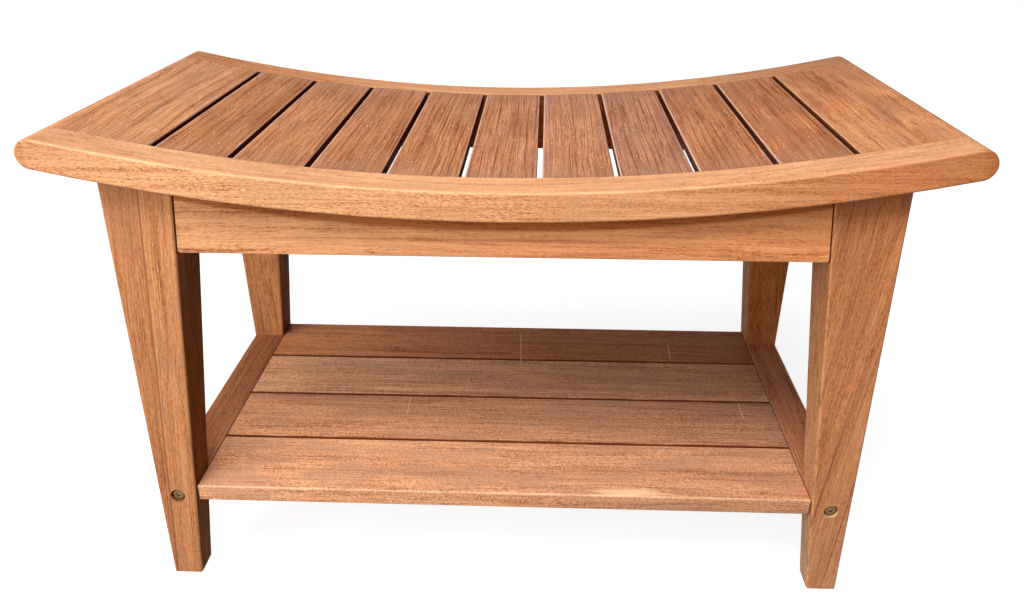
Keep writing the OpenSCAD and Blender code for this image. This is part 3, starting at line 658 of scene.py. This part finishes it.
def front_plank_details(t, shade, p, low, high):
    """A pale worn patch at the front of its top, and a painted highlight along its front lip."""
    x, y, z = p
    below_top = t.sub(high[2], z)
    away_x = t.mul(t.sub(x, WORN_X), 1 / WORN_LENGTH)
    away_y = t.mul(t.sub(y, WORN_Y), 1 / WORN_WIDTH)
    ragged = t.mul(t.wave(t.vector(*p), (12.0, 3.0)), 0.3)
    worn = t.step(t.add(t.length(t.vector(away_x, away_y, 0.0)), ragged), 1.1, 0.3)
    worn = t.mul(worn, t.step(below_top, 1.2, 0.5))
    shade = t.mix(t.mul(worn, 0.8), shade, colour(0.98, 0.64, 0.36))
    # a patchy painted highlight along the front lip
    lip = t.step(t.add(below_top, t.sub(y, low[1])), 2.2, 1.2)
    patchy = t.step(t.noise(t.vector(*p), (30.0, 8.0), detail=2.0), 0.35, 0.65)
    return t.mix(t.mul(lip, t.add(0.10, t.mul(patchy, 0.25))), shade, PALE_WEAR_AND_HIGHLIGHT), None


for node, seed, details in (("apron_front", 41, front_apron_details), ("apron_rear", 42, rear_apron_details)):
    paint_box(node, 0, seed, APRON, details=details, curl=0.35, bands=0.26, band_width=6.0,
              lines=0.35, line_length=260.0, spacing=8.0, fibres=0.42, dashes=0.30, dash_size=(6.0, 1.2),
              pores=0.3, lightness=0.15,
              fade=((-310, (0.76, 0.75, 0.77)), (-150, (0.89, 0.86, 0.86)), (0, (1.01, 0.88, 0.81)),
                    (150, (1.02, 0.88, 0.79)), (310, (0.96, 0.78, 0.64))))
for node, seed in (("upper_side_rail_left", 43), ("upper_side_rail_right", 44)):
    paint_box(node, 1, seed, APRON)
for node, seed, tint in (("lower_side_rail_left", 51, (0.81, 0.67, 0.54)),
                         ("lower_side_rail_right", 52, (0.97, 0.82, 0.70))):
    paint_box(node, 1, seed, tinted(SHELF, tint), lines=0.4, spacing=8.0, streaks=0.3)

# The shelf's planks from the front. Each has its own tint, greying and scratches, and each darkens toward its
# right end, which is the painted shadow of the seat.
PLANKS = (
    dict(tint=(1.24, 1.30, 1.30), gap_sides=(1,), greying=0.7, details=front_plank_details,
         fade=((-280, (1.0, 0.98, 0.96)), (280, (0.86, 0.82, 0.81)))),
    dict(tint=(1.24, 1.24, 1.19), gap_sides=(-1, 1), greying=0.5,
         fade=((-280, (1.0, 1.0, 1.0)), (280, (0.66, 0.66, 0.71))),
         marks=((-109.9, 2.9, -107.9, -42.9), (254.9, 21.6, 254.9, -36.7))),
    dict(tint=(1.54, 1.74, 1.80), gap_sides=(-1, 1), greying=0.5,
         fade=((-280, (1.0, 1.0, 1.0)), (280, (0.64, 0.59, 0.54))),
         marks=((-48.2, 50.6, -48.3, 9.7), (9.8, 155.3, 12.3, 67.3))),
    dict(tint=(1.12, 0.95, 0.72), gap_sides=(-1,), greying=0.3,
         fade=((-280, (1.0, 1.0, 1.0)), (280, (0.56, 0.52, 0.43))),
         marks=((9.8, 155.3, 12.3, 67.3), (193.9, 135.4, 191.4, 94.0))),
)
for number, settings in enumerate(PLANKS, 1):
    paint_box(f"shelf_plank_{number}", 0, 54 + number, tinted(SHELF, settings.pop("tint")), end_joint=0.7,
              bands=0.26, band_width=8.0, lines=0.15, spacing=9.0, line_length=160.0,
              fibres=0.46, fibre_size=(70.0, 1.5), dashes=0.12, dash_size=(8.0, 1.8),
              pores=0.10, pore_size=(10.0, 1.8), grit=0.44, grit_size=(2.2, 1.9),
              blotches=0.10, blotch_size=(70.0, 16.0), lightness=0.08, **settings)
paint_box("shelf_batten", 1, 59, SHELF)


# ---- Metal and dowels ----

def bolt_marks(t, shade, p):
    """A bolt's head is darker at its rim and round its socket, and has a painted highlight on the socket's
    floor.
    """
    x, y, z = t.parts(p)
    off_axis = t.length(t.vector(t.sub(t.size_of(x), BOLT_X), 0.0, t.sub(z, BOLT_Z)))
    head = t.step(t.size_of(y), BOLT_SEAT_Y - 1.0, BOLT_SEAT_Y)
    rim = t.step(off_axis, 4.7, 5.3)
    round_socket = t.step(off_axis, SOCKET_R + 1.0, SOCKET_R + 0.5)
    dark_rim_and_socket = t.high(rim, round_socket)
    shade = t.mix(t.mul(dark_rim_and_socket, t.mul(head, 0.7)), shade, colour(0.05, 0.032, 0.014))
    return t.mix(t.mul(head, t.step(off_axis, SOCKET_R, SOCKET_R - 0.4)), shade, colour(0.98, 0.92, 0.74))


def paint_plain(name, nodes, shade, metallic, rough, grain, details=None):
    """A metal or pale dowel finish, with a fine mottle in its colour and roughness."""
    t = Tree(bpy.data.materials.new(name))
    p = in_mm(t)
    mottle = t.noise(p, grain, detail=3.0, rough=0.6)
    darker = colour(*(v * 0.62 for v in shade[:3]))
    shade = t.mix(t.step(mottle, 0.35, 0.65), darker, shade)
    if details:
        shade = details(t, shade, p)
    finish(t, nodes, shade, t.add(rough, t.mul(t.sub(mottle, 0.5), 0.3)), Metallic=metallic)


paint_plain("brass", ("connector_bolts", "barrel_nuts"), colour(0.24, 0.15, 0.065),
            metallic=1.0, rough=0.38, grain=(1.5, 1.5), details=bolt_marks)
paint_plain("screw_steel", ("seat_screws", "shelf_screws"), colour(0.62, 0.62, 0.64),
            metallic=1.0, rough=0.35, grain=(2.0, 2.0))
paint_plain("dowel_wood", ("apron_dowels", "side_rail_dowels"), colour(0.62, 0.42, 0.24),
            metallic=0.0, rough=0.6, grain=(6.0, 2.0))


# ---- Camera: the photograph's viewing angle ----

CAMERA_AT = (36.04, -871.45, 634.40)
YAW, PITCH, ROLL = math.radians(-2.1048), math.radians(25.5008), math.radians(0.0767)
FOCAL_LENGTH = 31.861
SENSOR_WIDTH = 36.0

ahead = Vector((math.sin(YAW) * math.cos(PITCH), math.cos(YAW) * math.cos(PITCH), -math.sin(PITCH)))
right = Vector((math.cos(YAW), -math.sin(YAW), 0.0))
up = right.cross(ahead)
right, up = math.cos(ROLL) * right + math.sin(ROLL) * up, math.cos(ROLL) * up - math.sin(ROLL) * right
lens = bpy.data.cameras.new("camera")
lens.sensor_width = SENSOR_WIDTH
lens.sensor_fit = "HORIZONTAL"
lens.lens = FOCAL_LENGTH
camera = bpy.data.objects.new("camera", lens)
scene.collection.objects.link(camera)
turned = Matrix((right, up, -ahead)).transposed().to_4x4()
camera.matrix_world = Matrix.Translation(Vector(CAMERA_AT) * MM) @ turned
scene.camera = camera


# ---- Light and floor, in metres ----

LIT_POINT = Vector((0, 0, 0.25))
WHITE = (1, 1, 1, 1)


def lamp(name, azimuth, elevation, distance, size, power):
    """A soft square lamp. Azimuth 0 is in front of the bench and 90 to its left."""
    a, e = math.radians(azimuth), math.radians(elevation)
    toward = Vector((-math.sin(a) * math.cos(e), -math.cos(a) * math.cos(e), math.sin(e)))
    data = bpy.data.lights.new(name, "AREA")
    data.shape = "SQUARE"
    data.size = size
    data.energy = power
    o = bpy.data.objects.new(name, data)
    o.location = LIT_POINT + toward * distance
    o.rotation_euler = (-toward).to_track_quat("-Z", "Y").to_euler()
    scene.collection.objects.link(o)


lamp("lamp_above", azimuth=8, elevation=57, distance=2.6, size=0.9, power=60)
lamp("lamp_left", azimuth=45, elevation=20, distance=1.5, size=0.8, power=14)
lamp("lamp_far_left", azimuth=75, elevation=30, distance=1.5, size=0.8, power=6)
lamp("lamp_behind", azimuth=160, elevation=25, distance=2.6, size=1.2, power=3)


def seen_directly(t):
    """1 for what the camera sees, straight or in a gloss, and 0 for the light that reaches the bench."""
    path = t.node("LightPath", {}).node
    seen = t.high(path.outputs["Is Camera Ray"], path.outputs["Is Glossy Ray"])
    return t.high(seen, path.outputs["Is Transmission Ray"])


# The world is white where it is seen, and a faint fill where it lights the bench.
scene.world = bpy.data.worlds.new("studio")
t = Tree(scene.world)
fill = t.nodes["Background"]
fill.inputs["Color"].default_value = WHITE
fill.inputs["Strength"].default_value = 0.02
white = t.node("Background", {"Color": WHITE, "Strength": 1.0})
both = t.node("MixShader", {0: seen_directly(t), 1: fill.outputs[0], 2: white})
t.put(t.nodes["World Output"].inputs["Surface"], both)

# The floor is a mid grey to the light, and near white to the camera, where it still takes the bench's shadow.
FLOOR_HALF = 6
corner_points = [(x * FLOOR_HALF, y * FLOOR_HALF, 0) for x, y in ((-1, -1), (1, -1), (1, 1), (-1, 1))]
mesh = bpy.data.meshes.new("floor")
mesh.from_pydata(corner_points, [], [(0, 1, 2, 3)])
floor = bpy.data.objects.new("floor", mesh)
scene.collection.objects.link(floor)
t = Tree(bpy.data.materials.new("floor"))
shader = t.nodes["Principled BSDF"]
shader.inputs["Base Color"].default_value = (0.35, 0.35, 0.35, 1)
shader.inputs["Roughness"].default_value = 0.9
shader.inputs["Specular IOR Level"].default_value = 0.0
away = t.step(t.length(t.node("TexCoord", {}, "Object")), 0.6, 1.6)
glow = t.node("Emission", {"Color": WHITE, "Strength": t.add(0.88, t.mul(away, 0.12))})
glowing = t.node("AddShader", {0: shader.outputs[0], 1: glow})
both = t.node("MixShader", {0: seen_directly(t), 1: shader.outputs[0], 2: glowing})
t.put(t.nodes["Material Output"].inputs["Surface"], both)
mesh.materials.append(t.owner)

scene.view_settings.view_transform = "Standard"
